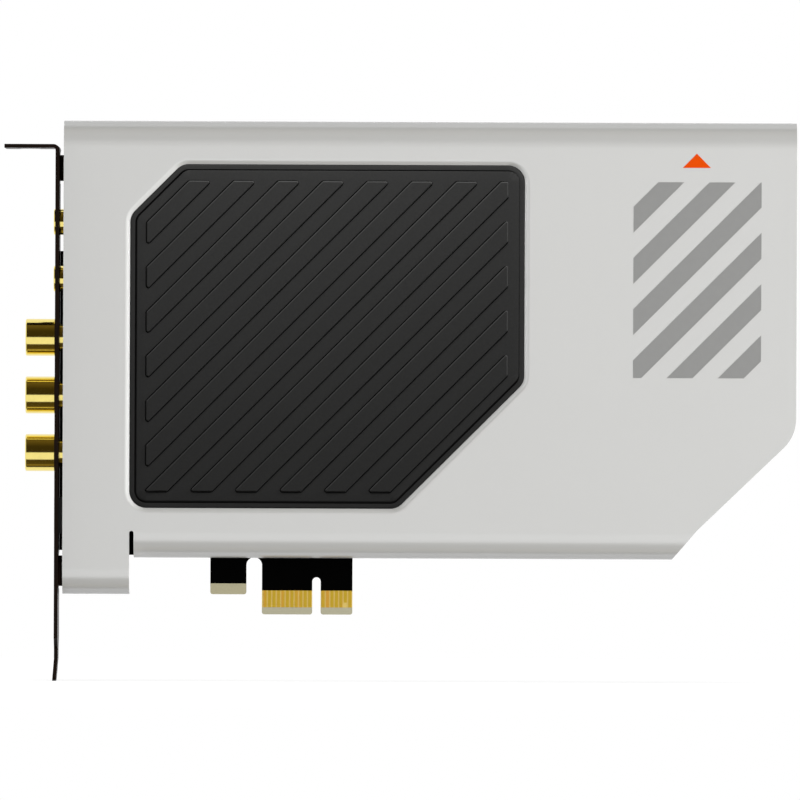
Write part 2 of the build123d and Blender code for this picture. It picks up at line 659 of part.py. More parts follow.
def power_coil(x, z):
    """Moulded power inductor with chamfered upright corners."""
    coil = on_board(x, z, COIL_W, COIL_W, COIL_H)
    return chamfer(coil.edges().filter_by(Axis.Y), COIL_W / 7)


def header_pins():
    """Pin places of the front-panel header, one corner left out as the key."""
    base = BOARD_RIGHT - HEADER_FROM_EDGE - HEADER_PITCH
    places = []
    for row in range(2):
        for column in range(HEADER_COLUMNS):
            if (row, column) != (1, HEADER_COLUMNS - 2):
                places.append((row, base, HEADER_Z + HEADER_PITCH * (column - (HEADER_COLUMNS - 1) / 2)))
    return places


def front_panel_header():
    """Right-angled pin header that faces the card's open end."""
    base = BOARD_RIGHT - HEADER_FROM_EDGE - HEADER_PITCH
    header = on_board(base, HEADER_Z, HEADER_PITCH, HEADER_PITCH * HEADER_COLUMNS, HEADER_PITCH * 2)
    pins = []
    for row, x, z in header_pins():
        y = BOARD_FACE - HEADER_PITCH * (row + 0.5)
        half = HEADER_PIN / 2
        pins.append(block(x, x + HEADER_PITCH / 2 + HEADER_PIN_L, y - half, y + half, z - half, z + half))
    return header + pins


def lead_ends():
    """Cut-off lead ends on the board's rear, one for each lead that comes through."""
    spots = [(SOCKET_FRONT + x, centre + z) for centre in JACK_CENTRES for x, z in JACK_PINS]
    spots += [(SOCKET_FRONT + x, centre + z) for centre in RCA_CENTRES for x, z in RCA_PINS]
    spots += [(SOCKET_FRONT + x, OPTICAL_Z + z) for x, z in OPTICAL_PINS]
    spots += [(x + s * CAPACITOR_LEAD_PITCH / 2, z) for x, z in CAPACITOR_SPOTS for s in (-1, 1)]
    spots += [(x + s * (FILM_L - FILM_W / 2) / 2, z) for x, z in FILM_SPOTS for s in (-1, 1)]
    corners = [(sx * RELAY_L / 3, sz * RELAY_W / 3) for sx in (-1, 1) for sz in (-1, 1)]
    spots += [(x + dx, z + dz) for x, z in RELAY_SPOTS for dx, dz in corners]
    spots += [(x + HEADER_PITCH * (row - 0.5), z) for row, x, z in header_pins()]
    end = Rectangle(LEAD_END, LEAD_END)
    return Compound([slab(Pos(*spot) * end, BOARD_REAR + LEAD_END_OUT, BOARD_REAR) for spot in spots])


nodes = {
    "front_shroud": front_shroud(),
    "insert_panel": insert_panel(),
    "main_board": main_board(),
    "edge_contacts": edge_contacts(),
    "io_bracket": io_bracket(),
    "rca_housing": rca_housing(),
    "optical_socket": optical_socket(),
    "shroud_standoffs": shroud_standoffs(),
    "shroud_screws": screws(STANDOFF_SPOTS, SCREW_INTO_STANDOFF),
    "ear_screws": screws(EAR_SPOTS, BRACKET_T + SCREW_PAST_EAR),
    "audio_processor": chip(*PROCESSOR_AT, PROCESSOR_W, PROCESSOR_W),
    "bus_chip": chip(*BUS_CHIP_AT, CONVERTER_W, CONVERTER_W),
    "output_converter": chip(*OUTPUT_CONVERTER_AT, CONVERTER_W, CONVERTER_W),
    "input_converter": chip(*INPUT_CONVERTER_AT, CONVERTER_W, CONVERTER_W / 2),
    "headphone_amplifier": chip(*AMPLIFIER_AT, CONVERTER_W, CONVERTER_W / 2),
    "op_amps": Compound([chip(x, z, *SMALL_CHIP) for x, z in OP_AMP_SPOTS]),
    "flash_memory": chip(*FLASH_AT, *SMALL_CHIP),
    "oscillators": Compound([on_board(x, z, *OSCILLATOR, OSCILLATOR_H) for x, z in OSCILLATOR_SPOTS]),
    "electrolytic_capacitors": Compound([electrolytic(x, z) for x, z in CAPACITOR_SPOTS]),
    "film_capacitors": Compound([on_board(x, z, FILM_L, FILM_W, FILM_H) for x, z in FILM_SPOTS]),
    "output_relays": Compound([on_board(x, z, RELAY_L, RELAY_W, RELAY_H) for x, z in RELAY_SPOTS]),
    "power_coils": Compound([power_coil(x, z) for x, z in COIL_SPOTS]),
    "voltage_regulators": Compound([regulator(x, z) for x, z in REGULATOR_SPOTS]),
    "chip_resistors": Compound([on_board(x, z, *CHIP_PART, CHIP_PART_H) for x, z in CHIP_PART_SPOTS]),
    "front_panel_header": front_panel_header(),
    "lead_ends": lead_ends(),
}
for label, centre in zip(("microphone", "headphone"), JACK_CENTRES):
    nodes[label + "_jack_body"] = jack_body(centre)
    nodes[label + "_jack_collar"] = jack_collar(centre)
for number, centre in enumerate(RCA_CENTRES, 1):
    for piece, solid in zip(("shell", "insulator", "contact"), rca_pieces(centre)):
        nodes[f"rca_{piece}_{number}"] = solid

os.makedirs("parts", exist_ok=True)
for name, solid in nodes.items():
    export_step(solid, f"parts/{name}.step")
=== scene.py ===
import math

import bmesh
import bpy
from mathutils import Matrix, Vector


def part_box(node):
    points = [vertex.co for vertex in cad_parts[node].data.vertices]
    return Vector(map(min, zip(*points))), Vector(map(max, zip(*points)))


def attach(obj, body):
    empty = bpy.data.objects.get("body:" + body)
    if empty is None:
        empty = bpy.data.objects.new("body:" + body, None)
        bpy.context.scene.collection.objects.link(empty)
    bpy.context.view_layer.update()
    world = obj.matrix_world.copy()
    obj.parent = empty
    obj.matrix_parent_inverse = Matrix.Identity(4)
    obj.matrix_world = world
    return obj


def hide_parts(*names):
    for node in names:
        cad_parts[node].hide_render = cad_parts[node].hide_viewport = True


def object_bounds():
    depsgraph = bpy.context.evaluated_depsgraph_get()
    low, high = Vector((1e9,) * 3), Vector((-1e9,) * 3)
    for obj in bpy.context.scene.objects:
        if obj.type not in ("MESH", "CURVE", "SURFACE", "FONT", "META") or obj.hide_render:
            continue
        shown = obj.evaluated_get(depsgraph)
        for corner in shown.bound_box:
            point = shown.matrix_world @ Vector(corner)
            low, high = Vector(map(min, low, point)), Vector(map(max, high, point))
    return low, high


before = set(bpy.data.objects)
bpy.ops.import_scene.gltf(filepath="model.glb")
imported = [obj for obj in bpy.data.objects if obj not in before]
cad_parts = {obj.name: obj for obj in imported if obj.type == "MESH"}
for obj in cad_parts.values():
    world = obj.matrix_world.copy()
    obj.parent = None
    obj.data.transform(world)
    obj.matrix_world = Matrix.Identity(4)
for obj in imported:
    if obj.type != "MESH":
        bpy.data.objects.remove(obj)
cad_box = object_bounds()
scene = bpy.context.scene
MM = 0.001
BODY = "root"
SOCKETS = (1, 2, 3)
JACKS = ("microphone", "headphone")

# Photograph: field of view across the frame, its middle and its roll
CAMERA_DISTANCE = 4.0
CLIP_START = 0.1
SENSOR = 36.0
FIELD_WIDTH = 178.75 * MM
FIELD_CENTRE = (18.57 * MM, 48.19 * MM)
CAMERA_ROLL = 0.0040

# Meshes from the solids: welding, and the angles in degrees that count as flat, smooth and sharp
WELD_DISTANCE = 0.0005 * MM
FLAT_ANGLE = 0.4
SMOOTH_ANGLE = 40
SHARP_ANGLE = 30
EDGE_SEGMENTS = 2

# Rounding of sharp edges
SHROUD_EDGE = 0.15 * MM
BRACKET_EDGE = 0.1 * MM
FILM_EDGE = 0.4 * MM
RELAY_EDGE = 0.3 * MM
COIL_EDGE = 0.25 * MM
CAN_EDGE = 0.35 * MM
PORT_EDGE = 0.12 * MM

# Window rim in the shroud: the turn at its outer edge in degrees, and how that edge is rounded
RIM_ANGLE = 45
RIM_ANGLE_TOLERANCE = 1
RIM_ROUND = 0.4 * MM
RIM_SEGMENTS = 4
FACE_TOLERANCE = 0.01 * MM

# Insert panel, as the solid has it, with the finer edges that show
PANEL_LIP = 2.4 * MM
PANEL_LIP_T = 1.0 * MM
PANEL_TOP_CHAMFER = 11.5 * MM
PANEL_BOTTOM_CHAMFER = 28.3 * MM
PANEL_CORNER_R = 3.8 * MM
PANEL_FIT = 0.1 * MM
PANEL_EDGE = 0.22 * MM
PANEL_EDGE_BEND = 0.3
BORDER_INSET = 1.1 * MM
BORDER_W = 0.46 * MM
BORDER_DEPTH = 0.7 * MM
BORDER_DRAFT = 0.1
FIELD_EDGE = 0.2 * MM
STRIPE_PITCH = 9.96 * MM
STRIPE_W = 4.98 * MM
STRIPE_MARGIN = 3.7 * MM
STRIPE_RAISE = 0.25 * MM
STRIPE_GROOVE = 0.26 * MM
STRIPE_GROOVE_DEPTH = 0.45 * MM
STRIPE_GROOVE_DRAFT = 0.2
STRIPE_CORNER_R = 0.35 * MM
STRIPE_EDGE = 0.28 * MM
STRIPE_EDGE_BEND = 0.4
CORNER_STEPS = 10
STRIPE_STEPS = 3
DIAGONAL = math.sqrt(0.5)

# Shares of a groove's width on edges that face right or up, and how squarely they have to
GROOVE_RIGHT = 0.1
GROOVE_TOP = 0.55
FACING = 0.9

# Print on the shroud: a hatched field of slanting bars and a small arrow
PRINT_T = 0.02 * MM
HATCH = (70.6 * MM, 99.2 * MM, 53.3 * MM, 97.1 * MM)
HATCH_BARS = 6
HATCH_FIRST = -21.0 * MM
HATCH_PITCH = 11.45 * MM
HATCH_W = 5.8 * MM
ARROW_TIP = (84.7 * MM, 103.5 * MM)
ARROW_W = 6.3 * MM
ARROW_H = 3.2 * MM

# Phono sockets and jacks, as the solids have them, with rounded rims
BRACKET_FACE = -58.6 * MM
RCA_WALL = 0.7 * MM
RCA_NECK_R = 3.25 * MM
RCA_RIM_R = 0.35 * MM
RCA_LIP_R = 0.2 * MM
# Span behind a phono contact's mouth over which painted shade darkens its gold
RCA_BORE_SHADE_SPAN = 3.0 * MM
COLLAR_EDGE_R = 0.25 * MM
JACK_BORE_R = 1.8 * MM
JACK_CORE_R = 2.85 * MM
JACK_CORE_T = 1.0 * MM
LATHE_STEPS = 96
ARC_STEPS = 5

# Screws and solder joints on the board's rear; a joint's profile is its height and radius in millimetres
SCREW_HEAD_H = 1.7 * MM
SCREW_SHANK_R = 1.45 * MM
SCREW_FLAT_R = 1.65 * MM
SCREW_SKIRT = 0.4 * MM
SCREW_STEPS = 48
CROSS_TOP = (0.4 * MM, 1.3 * MM)
CROSS_FLOOR = (0.2 * MM, 0.55 * MM)
CROSS_DEPTH = 1.0 * MM
JOINT_PROFILE = ((0.0, 1.15), (0.03, 1.12), (0.05, 0.95), (0.16, 0.68), (0.42, 0.48), (0.82, 0.4))
JOINT_STEPS = 16

# Small capacitors on the rear: size, end caps, and the columns and rows of them behind each chip
REAR_PART = (1.6 * MM, 0.8 * MM, 0.7 * MM)
REAR_CAP = 0.35 * MM
REAR_CAP_PROUD = 0.04 * MM
REAR_GROUPS = (
    ("audio_processor", 4, 3),
    ("bus_chip", 2, 2),
    ("output_converter", 2, 2),
    ("input_converter", 2, 1),
    ("headphone_amplifier", 2, 1),
)

# Copper under the mask: tracks by direction in X and Z, the shares of turned and filled blocks, and vias
TRACK_PITCH = 0.9 * MM
TRACK_W = 0.4 * MM
TRACK_RUNS = ((1.0, 0.0), (0.0, 1.0), (0.7, 0.7), (0.7, -0.7))
TURN_LIMITS = (0.35, 0.7, 0.85)
BLOCK_SCALE = 75.0
FILLED_SHARE = 0.4
VIA_SCALE = 210.0
VIA_SHARE = 0.4
VIA_RING = ((0.035, 0.0), (0.045, 1.0), (0.10, 1.0), (0.11, 0.0))
COPPER_LIGHTER = 2.4

# Board: the Y of a normal that counts as front or rear, and the bare laminate at its lower edge
FRONT_FACING = -0.3
REAR_FACING = 0.9
STUB_LEFT = -24.0 * MM
TAB_LEFT = -14.0 * MM
STUB_BARE_TOP = 6.9 * MM
TAB_BARE_TOP = 5.37 * MM
FINGER_END_TOP = 1.6 * MM
STUB_LAMINATE = (0.51, 0.47, 0.31)
# Finger ends: a lighter copy of the laminate, painted light that offsets the shade on their down-facing
# bevels
END_LAMINATE_PAINTED_LIGHT = (0.56, 0.53, 0.38)
TAB_LAMINATE = (0.78, 0.58, 0.17)
LAMINATE_VARY = 0.03

# Colours that several materials share, and the span of a noise in which they vary
WHITE = (1.0, 1.0, 1.0, 1.0)
GOLD = (0.905, 0.75, 0.235)
GOLD_VARY = 0.03
NOISE_LOW = 0.3
NOISE_HIGH = 0.7

# Studio: light all round, and the reflected room's brightness by the angle above straight ahead, in degrees
AMBIENT = 0.05
DARK_TINT = (1.35, 0.98, 0.27)
ROOM = (
    (-180, 1.0), (-106, 1.0),
    (-102, 0.05), (-93, 0.05), (-88, 0.17), (-79, 0.15), (-74, 0.06), (-45, 0.05),
    (-42, 1.0), (-1, 1.0),
    (2, 0.03), (40, 0.035), (88, 0.11), (92, 0.03), (101, 0.03),
    (105, 1.0),
)
ROOM_SIDES = ((0.55, 0.0), (0.75, 1.0))

# Lamps: name, place, size in metres, power in watts; the first group lights all but the panel
LAMP_AIM = (0.02, 0.0, 0.05)
LAMPS = (
    ("key", (0.02, -1.6, 0.42), 0.8, 14.5),
    ("low", (0.02, -1.2, -0.80), 0.6, 1.7),
    ("under", (0.02, -0.10, -1.30), 0.8, 3.0),
    ("right", (0.90, -0.18, 0.05), 0.3, 9.2),
    ("left", (-0.90, 0.05, 0.05), 0.3, 6.0),
    ("left_front", (-0.90, -0.14, 0.05), 0.3, 1.5),
    ("top", (0.0, -0.3, 1.2), 0.8, 2.0),
    ("rear", (0.1, 1.6, 0.5), 0.8, 20.0),
)
FLOOD = ("floor_flood", (0.1, -0.3, 1.6), 0.9, 36.0)

# Lamps for the panel alone, from the middle of its top edge and from its centre
SHEEN_OFFSET = Vector((0.0, -0.085, 0.16))
SHEEN_POWER = 0.78
SIDE_OFFSET = Vector((0.5, -0.06, 0.22))
SIDE_POWER = 3.6
PANEL_LAMP_SIZE = 0.1

# Floor: its own grey, and the share of plain white that the camera sees
FLOOR_R = 0.35
FLOOR_STEPS = 96
FLOOR_GREY = (0.85, 0.85, 0.85)
FLOOR_WHITE_SHARE = 0.85


def opaque(color):
    """Colour with full alpha."""
    return (*color, 1.0)


def scaled(color, share):
    """Colour made lighter or darker by a share."""
    return tuple(c * share for c in color)


def spread(color, share):
    """Ramp stops that vary a colour by a share either way."""
    return [(NOISE_LOW, scaled(color, 1 - share)), (NOISE_HIGH, scaled(color, 1 + share))]


def node(tree, kind, inputs=None, **settings):
    """Adds a shader node; an input given as a socket is linked, and as a value is set."""
    made = tree.nodes.new("ShaderNode" + kind)
    for key, value in settings.items():
        setattr(made, key, value)
    for key, value in (inputs or {}).items():
        if isinstance(value, bpy.types.NodeSocket):
            tree.links.new(value, made.inputs[key])
        else:
            made.inputs[key].default_value = value
    return made


def ramp(tree, factor, stops):
    """Colour ramp from (position, grey or colour) stops."""
    made = node(tree, "ValToRGB", {"Fac": factor})
    elements = made.color_ramp.elements
    while len(elements) < len(stops):
        elements.new(0.5)
    for element, (position, color) in zip(elements, stops):
        element.position = position
        element.color = opaque((color,) * 3 if isinstance(color, (int, float)) else color)
    return made.outputs["Color"]


def mix(tree, factor, first, second, blend="MIX"):
    """Colour that goes from first to second with factor."""
    inputs = {"Fac": factor, "Color1": first, "Color2": second}
    return node(tree, "MixRGB", inputs, blend_type=blend).outputs["Color"]


def compute(tree, operation, first, second=0.0):
    """Math node's output."""
    return node(tree, "Math", {0: first, 1: second}, operation=operation).outputs[0]


class Look:
    """A material with a Principled shader, and short calls for the textures that feed it."""

    def __init__(self, name, **sockets):
        self.material = bpy.data.materials.new(name)
        self.material.use_nodes = True
        self.tree = self.material.node_tree
        self.shader = self.tree.nodes["Principled BSDF"]
        for key, value in sockets.items():
            socket = self.shader.inputs[key.replace("_", " ")]
            socket.default_value = opaque(value) if isinstance(value, tuple) else value
        self.place = node(self.tree, "TexCoord").outputs["Object"]

    def axis(self, letter):
        """One coordinate of the surface point, in metres."""
        return node(self.tree, "SeparateXYZ", {0: self.place}).outputs[letter]

    def past(self, letter, start, span):
        """How far the surface point lies past start along an axis, as a share of span."""
        distance = compute(self.tree, "SUBTRACT", self.axis(letter), start)
        return compute(self.tree, "DIVIDE", distance, span)

    def noise(self, scale, detail=3.0, stretch=(1.0, 1.0, 1.0)):
        """Noise with features about 1/scale metres wide, drawn out along an axis by a stretch below 1."""
        inputs = {0: self.place, 1: stretch}
        place = node(self.tree, "VectorMath", inputs, operation="MULTIPLY").outputs[0]
        made = node(self.tree, "TexNoise", {"Vector": place, "Scale": scale, "Detail": detail})
        return made.outputs["Fac"]

    def feed(self, socket, output):
        """Links a texture to one of the shader's sockets."""
        self.tree.links.new(output, self.shader.inputs[socket])

    def tint(self, factor, stops):
        """Base colour from a ramp over factor."""
        self.feed("Base Color", ramp(self.tree, factor, stops))

    def gloss(self, factor, low, high):
        """Roughness from low to high over the middle of factor."""
        self.feed("Roughness", ramp(self.tree, factor, [(NOISE_LOW, low), (NOISE_HIGH, high)]))

    def bump(self, height, depth, strength):
        """Bump of the given depth in metres."""
        inputs = {"Height": height, "Distance": depth, "Strength": strength}
        self.feed("Normal", node(self.tree, "Bump", inputs).outputs["Normal"])


def shroud_paint():
    """Satin pale powder coat, flat to the eye."""
    color = (0.66, 0.66, 0.645)
    look = Look("shroud_paint", Base_Color=color, IOR=1.8, Specular_IOR_Level=0.94)
    look.tint(look.noise(60), spread(color, 0.004))
    look.gloss(look.noise(900), 0.245, 0.255)
    look.bump(look.noise(2400), 0.0006 * MM, 0.5)
    return look.material


def panel_plastic():
    """Charcoal moulding with a fine grain, with painted shade that turns it black down in its grooves and a
    painted highlight that lightens the stripe edges.
    """
    color = (0.030, 0.030, 0.0296)
    # Painted highlight: a lighter copy of the charcoal for the stripes' edge slopes, where light from above
    # catches them.
    painted_edge_highlight = scaled(color, 1.4)
    stripe_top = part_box("insert_panel")[0].y
    look = Look("panel_plastic", Specular_IOR_Level=0.15)
    # Painted shade: deeper than the panel's face the colour drops to near black, down in the border groove
    # and the stripe grooves.
    below_face = look.past("Y", stripe_top + STRIPE_RAISE, BORDER_DEPTH)
    painted_groove_shade = ramp(look.tree, below_face, [(0.15, 1.0), (0.3, 0.03)])
    below_top = look.past("Y", stripe_top, STRIPE_RAISE)
    # Band on the stripes' edge slopes that takes the painted highlight.
    edge_highlight_mask = ramp(look.tree, below_top, [(0.05, 0.0), (0.25, 1.0), (0.85, 1.0), (0.97, 0.0)])
    grain = ramp(look.tree, look.noise(2600), spread(color, 0.08))
    highlighted_grain = mix(look.tree, edge_highlight_mask, grain, opaque(painted_edge_highlight))
    look.feed("Base Color", mix(look.tree, 1.0, highlighted_grain, painted_groove_shade, "MULTIPLY"))
    look.gloss(look.noise(900), 0.44, 0.5)
    look.bump(look.noise(5200), 0.003 * MM, 0.6)
    return look.material


def routed_copper(look):
    """Copper under the mask: blocks of parallel tracks along, across or aslant, filled areas, and vias."""
    tree = look.tree
    x, z = look.axis("X"), look.axis("Z")
    blocks = node(tree, "TexVoronoi", {"Vector": look.place, "Scale": BLOCK_SCALE}, distance="CHEBYCHEV")
    chance = node(tree, "SeparateXYZ", {0: blocks.outputs["Color"]}).outputs
    runs = []
    for along, across in TRACK_RUNS:
        parts = compute(tree, "MULTIPLY", x, along), compute(tree, "MULTIPLY", z, across)
        wave = compute(tree, "PINGPONG", compute(tree, "ADD", *parts), TRACK_PITCH / 2)
        runs.append(compute(tree, "LESS_THAN", wave, TRACK_W / 2))
    copper = runs[0]
    for limit, run in zip(TURN_LIMITS, runs[1:]):
        turned_to = compute(tree, "GREATER_THAN", chance["X"], limit)
        copper = node(tree, "Mix", {"Factor": turned_to, "A": copper, "B": run}).outputs["Result"]
    filled = compute(tree, "LESS_THAN", chance["Y"], FILLED_SHARE)
    copper = compute(tree, "MAXIMUM", copper, filled)
    spots = node(tree, "TexVoronoi", {"Vector": look.place, "Scale": VIA_SCALE}).outputs
    via_chance = node(tree, "SeparateXYZ", {0: spots["Color"]}).outputs["X"]
    some = compute(tree, "LESS_THAN", via_chance, VIA_SHARE)
    ring = ramp(tree, spots["Distance"], VIA_RING)
    return compute(tree, "ADD", copper, compute(tree, "MULTIPLY", some, ring))


def bare_laminate(look, x, z):
    """Colour of the board where it is bare, and 1 there or 0 under the mask."""
    tree = look.tree
    on_tab = compute(tree, "GREATER_THAN", x, TAB_LEFT)
    limit = node(tree, "Mix", {"Factor": on_tab, "A": STUB_BARE_TOP, "B": TAB_BARE_TOP}).outputs["Result"]
    past_left = compute(tree, "GREATER_THAN", x, STUB_LEFT)
    bare = compute(tree, "MULTIPLY", past_left, compute(tree, "LESS_THAN", z, limit))
    fibres = look.noise(2500)
    between = compute(tree, "GREATER_THAN", z, FINGER_END_TOP)
    # Painted light: below the finger-end line the laminate is a lighter copy, offsetting the shade on the
    # down-facing bevels.
    painted_light_ends = ramp(tree, fibres, spread(END_LAMINATE_PAINTED_LIGHT, LAMINATE_VARY))
    tab = mix(tree, between, painted_light_ends, opaque(TAB_LAMINATE))
    stub = ramp(tree, fibres, spread(STUB_LAMINATE, LAMINATE_VARY))
    return mix(tree, on_tab, stub, tab), bare


def board_mask(name, color, specular, tracked):
    """Black solder mask, over faint tracks if tracked, with bare laminate at the stub and the fingers."""
    look = Look(name, Specular_IOR_Level=specular)
    coat = ramp(look.tree, look.noise(300), spread(color, 0.1))
    if tracked:
        copper = routed_copper(look)
        coat = mix(look.tree, copper, coat, opaque(scaled(color, COPPER_LIGHTER)))
        look.bump(copper, 0.03 * MM, 0.7)
    laminate, bare = bare_laminate(look, look.axis("X"), look.axis("Z"))
    look.feed("Base Color", mix(look.tree, bare, coat, laminate))
    look.gloss(look.noise(800), 0.36, 0.46)
    return look.material


def gold_plate():
    """Bright gold on turned metal, with faint lathe lines round it."""
    look = Look("gold_plate", Base_Color=GOLD, Metallic=1.0, Roughness=0.1)
    look.tint(look.noise(700), spread(GOLD, GOLD_VARY))
    lines = look.noise(1.0, 2.0, (9000.0, 60.0, 60.0))
    look.gloss(lines, 0.08, 0.13)
    look.bump(lines, 0.0012 * MM, 0.4)
    return look.material


def polished_gold():
    """Mirror-bright gold of the jack collars."""
    look = Look("polished_gold", Base_Color=GOLD, Metallic=1.0, Roughness=0.03)
    look.tint(look.noise(700), spread(GOLD, GOLD_VARY))
    look.gloss(look.noise(900), 0.025, 0.04)
    return look.material


def bore_gold():
    """Gold of the phono sockets' centre contacts, with painted shade that darkens it down the bore."""
    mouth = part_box("rca_contact_1")[0].x
    look = Look("bore_gold", Metallic=1.0, Roughness=0.16)
    # Painted shade: the gold fades to near black a few millimetres behind the mouth.
    look.tint(look.past("X", mouth, RCA_BORE_SHADE_SPAN), [(0.1, GOLD), (0.9, (0.012, 0.009, 0.004))])
    look.gloss(look.noise(900), 0.13, 0.19)
    return look.material


def finger_gold():
    """Softer gold of the edge contacts, each pad a little different."""
    look = Look("finger_gold", Metallic=0.5, Roughness=0.45)
    pads = look.noise(1.0, 1.0, (620.0, 0.0, 40.0))
    look.tint(pads, [(0.3, (0.71, 0.44, 0.04)), (0.5, (0.68, 0.45, 0.03)), (0.7, (0.80, 0.41, 0.05))])
    look.gloss(look.noise(3000), 0.4, 0.5)
    return look.material


def bracket_black():
    """Black-brown plated steel."""
    color = (0.0065, 0.003, 0.0014)
    look = Look("bracket_black", Base_Color=color, Specular_IOR_Level=0.1)
    look.tint(look.noise(180), spread(color, 0.3))
    look.gloss(look.noise(700, 4.0, (1.0, 1.0, 0.2)), 0.3, 0.44)
    look.bump(look.noise(4000), 0.003 * MM, 0.6)
    return look.material


def grained(name, color, roughness, vary=0.12, grain=3500, depth=0.004 * MM, metallic=0.0, specular=0.5):
    """A moulded or cast surface: one colour that varies a little, with a fine grain."""
    look = Look(name, Base_Color=color, Roughness=roughness, Metallic=metallic,
                Specular_IOR_Level=specular)
    look.tint(look.noise(grain / 6), spread(color, vary))
    look.gloss(look.noise(grain / 3), roughness * 0.88, roughness * 1.12)
    look.bump(look.noise(grain), depth, 0.6)
    return look.material


paint = shroud_paint()
charcoal = panel_plastic()
front_mask = board_mask("board_front", (0.0006, 0.0006, 0.0006), specular=0.01, tracked=False)
rear_mask = board_mask("board_rear", (0.0055, 0.0055, 0.0056), specular=0.3, tracked=True)
laminate_edge = grained("board_edge", (0.06, 0.05, 0.03), 0.6, vary=0.2)
gold = gold_plate()
bright_gold = polished_gold()
contact_gold = bore_gold()
pad_gold = finger_gold()
black_plate = bracket_black()
moulding = grained("moulded_black", (0.012, 0.012, 0.012), 0.42)
epoxy = grained("chip_black", (0.02, 0.02, 0.021), 0.5, grain=6000)
can_metal = grained("can_metal", (0.62, 0.62, 0.61), 0.3, vary=0.05, metallic=1.0)
sleeve = grained("capacitor_sleeve", (0.03, 0.03, 0.05), 0.3)
film_red = grained("film_case", (0.5, 0.07, 0.045), 0.32)
relay_white = grained("relay_case", (0.66, 0.66, 0.63), 0.4, vary=0.04)
ferrite = grained("coil_grey", (0.09, 0.09, 0.092), 0.6, vary=0.2)
brass = grained("standoff_brass", (0.72, 0.52, 0.25), 0.28, vary=0.06, metallic=1.0)
steel = grained("screw_steel", (0.11, 0.11, 0.115), 0.34, vary=0.15, metallic=0.9)
tin = grained("solder_tin", (0.66, 0.67, 0.67), 0.25, vary=0.06, metallic=1.0)
ceramic = grained("ceramic_tan", (0.27, 0.18, 0.10), 0.5, vary=0.2)
grey_ink = grained("grey_ink", (0.312, 0.312, 0.305), 0.4, vary=0.015, depth=0.002 * MM)
orange_ink = grained("orange_ink", (0.875, 0.083, 0.002), 0.4, vary=0.02, depth=0.002 * MM, specular=0.1)


def piece(name, mesh, material, replaced=()):
    """Puts a mesh into the scene as a piece of the object, with the material slot that it stands for."""
    made = bpy.data.objects.new(name, mesh)
    scene.collection.objects.link(made)
    mesh.materials.append(material)
    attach(made, BODY)
    if replaced:
        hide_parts(*replaced)
    return made


def shaded(bm, name):
    """Mesh from bm, smooth except across sharp edges."""
    bmesh.ops.recalc_face_normals(bm, faces=bm.faces)
    mesh = bpy.data.meshes.new(name)
    bm.to_mesh(mesh)
    bm.free()
    mesh.shade_smooth()
    mesh.set_sharp_from_angle(angle=math.radians(SMOOTH_ANGLE))
    return mesh


def weighted(made):
    """Keeps large faces flat next to narrow rounded edges."""
    normals = made.modifiers.new("normals", "WEIGHTED_NORMAL")
    normals.keep_sharp = True
    normals.weight = 100
    return made


def welded(name):
    """The solid of a node as one closed mesh of flat faces."""
    bm = bmesh.new()
    bm.from_mesh(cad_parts[name].data)
    bmesh.ops.remove_doubles(bm, verts=bm.verts, dist=WELD_DISTANCE)
    bmesh.ops.dissolve_limit(bm, angle_limit=math.radians(FLAT_ANGLE), verts=bm.verts, edges=bm.edges)
    return bm


def round_edges(bm, edges, width, segments):
    """Rounds edges of a mesh by width."""
    bmesh.ops.bevel(bm, geom=edges, offset=width, offset_type="OFFSET", segments=segments, profile=0.5,
                    affect="EDGES", clamp_overlap=True, loop_slide=True, miter_outer="SHARP")


def turn_of(edge):
    """Angle between an edge's faces, in degrees."""
    return math.degrees(edge.calc_face_angle(0.0))


def softened(source, name, width, material, round_first=None):
    """Copy of a node with its sharp edges rounded by width."""
    bm = welded(source)
    if round_first:
        round_first(bm)
    round_edges(bm, [e for e in bm.edges if turn_of(e) > SHARP_ANGLE], width, EDGE_SEGMENTS)
    return weighted(piece(name, shaded(bm, name), material, [source]))


def round_rim(bm):
    """Rounds the outer edge of the sloping rim round the shroud's window."""
    low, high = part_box("insert_panel")
    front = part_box("front_shroud")[0].y + FACE_TOLERANCE

    def at_window(vert):
        x, y, z = vert.co
        return low.x < x < high.x and low.z < z < high.z and y < front

    def on_rim(edge):
        return all(map(at_window, edge.verts)) and abs(turn_of(edge) - RIM_ANGLE) < RIM_ANGLE_TOLERANCE

    round_edges(bm, [e for e in bm.edges if on_rim(e)], RIM_ROUND, RIM_SEGMENTS)


def islands(name):
    """Boxes of a node's separate solids."""
    bm = welded(name)
    boxes = []
    seen = set()
    for start in bm.verts:
        if start in seen:
            continue
        seen.add(start)
        waiting = [start]
        points = []
        while waiting:
            vert = waiting.pop()
            points.append(vert.co.copy())
            near = [e.other_vert(vert) for e in vert.link_edges]
            fresh = [v for v in near if v not in seen]
            seen.update(fresh)
            waiting += fresh
        low = Vector([min(p[k] for p in points) for k in range(3)])
        high = Vector([max(p[k] for p in points) for k in range(3)])
        boxes.append((low, high))
    bm.free()
    return boxes


def clipped(points, normal, limit):
    """Convex outline cut to the side where the point along normal is below limit."""
    kept = []
    for k, start in enumerate(points):
        end = points[(k + 1) % len(points)]
        a = start.dot(normal) - limit
        b = end.dot(normal) - limit
        if a <= 0:
            kept.append(start)
        if a * b < 0:
            kept.append(start.lerp(end, a / (a - b)))
    return kept


def groove_share(outward):
    """Share of a groove's width on an edge: grooves taper to a seam along the top and the right."""
    if outward.x > FACING:
        return GROOVE_RIGHT
    return GROOVE_TOP if outward.y > FACING else 1.0


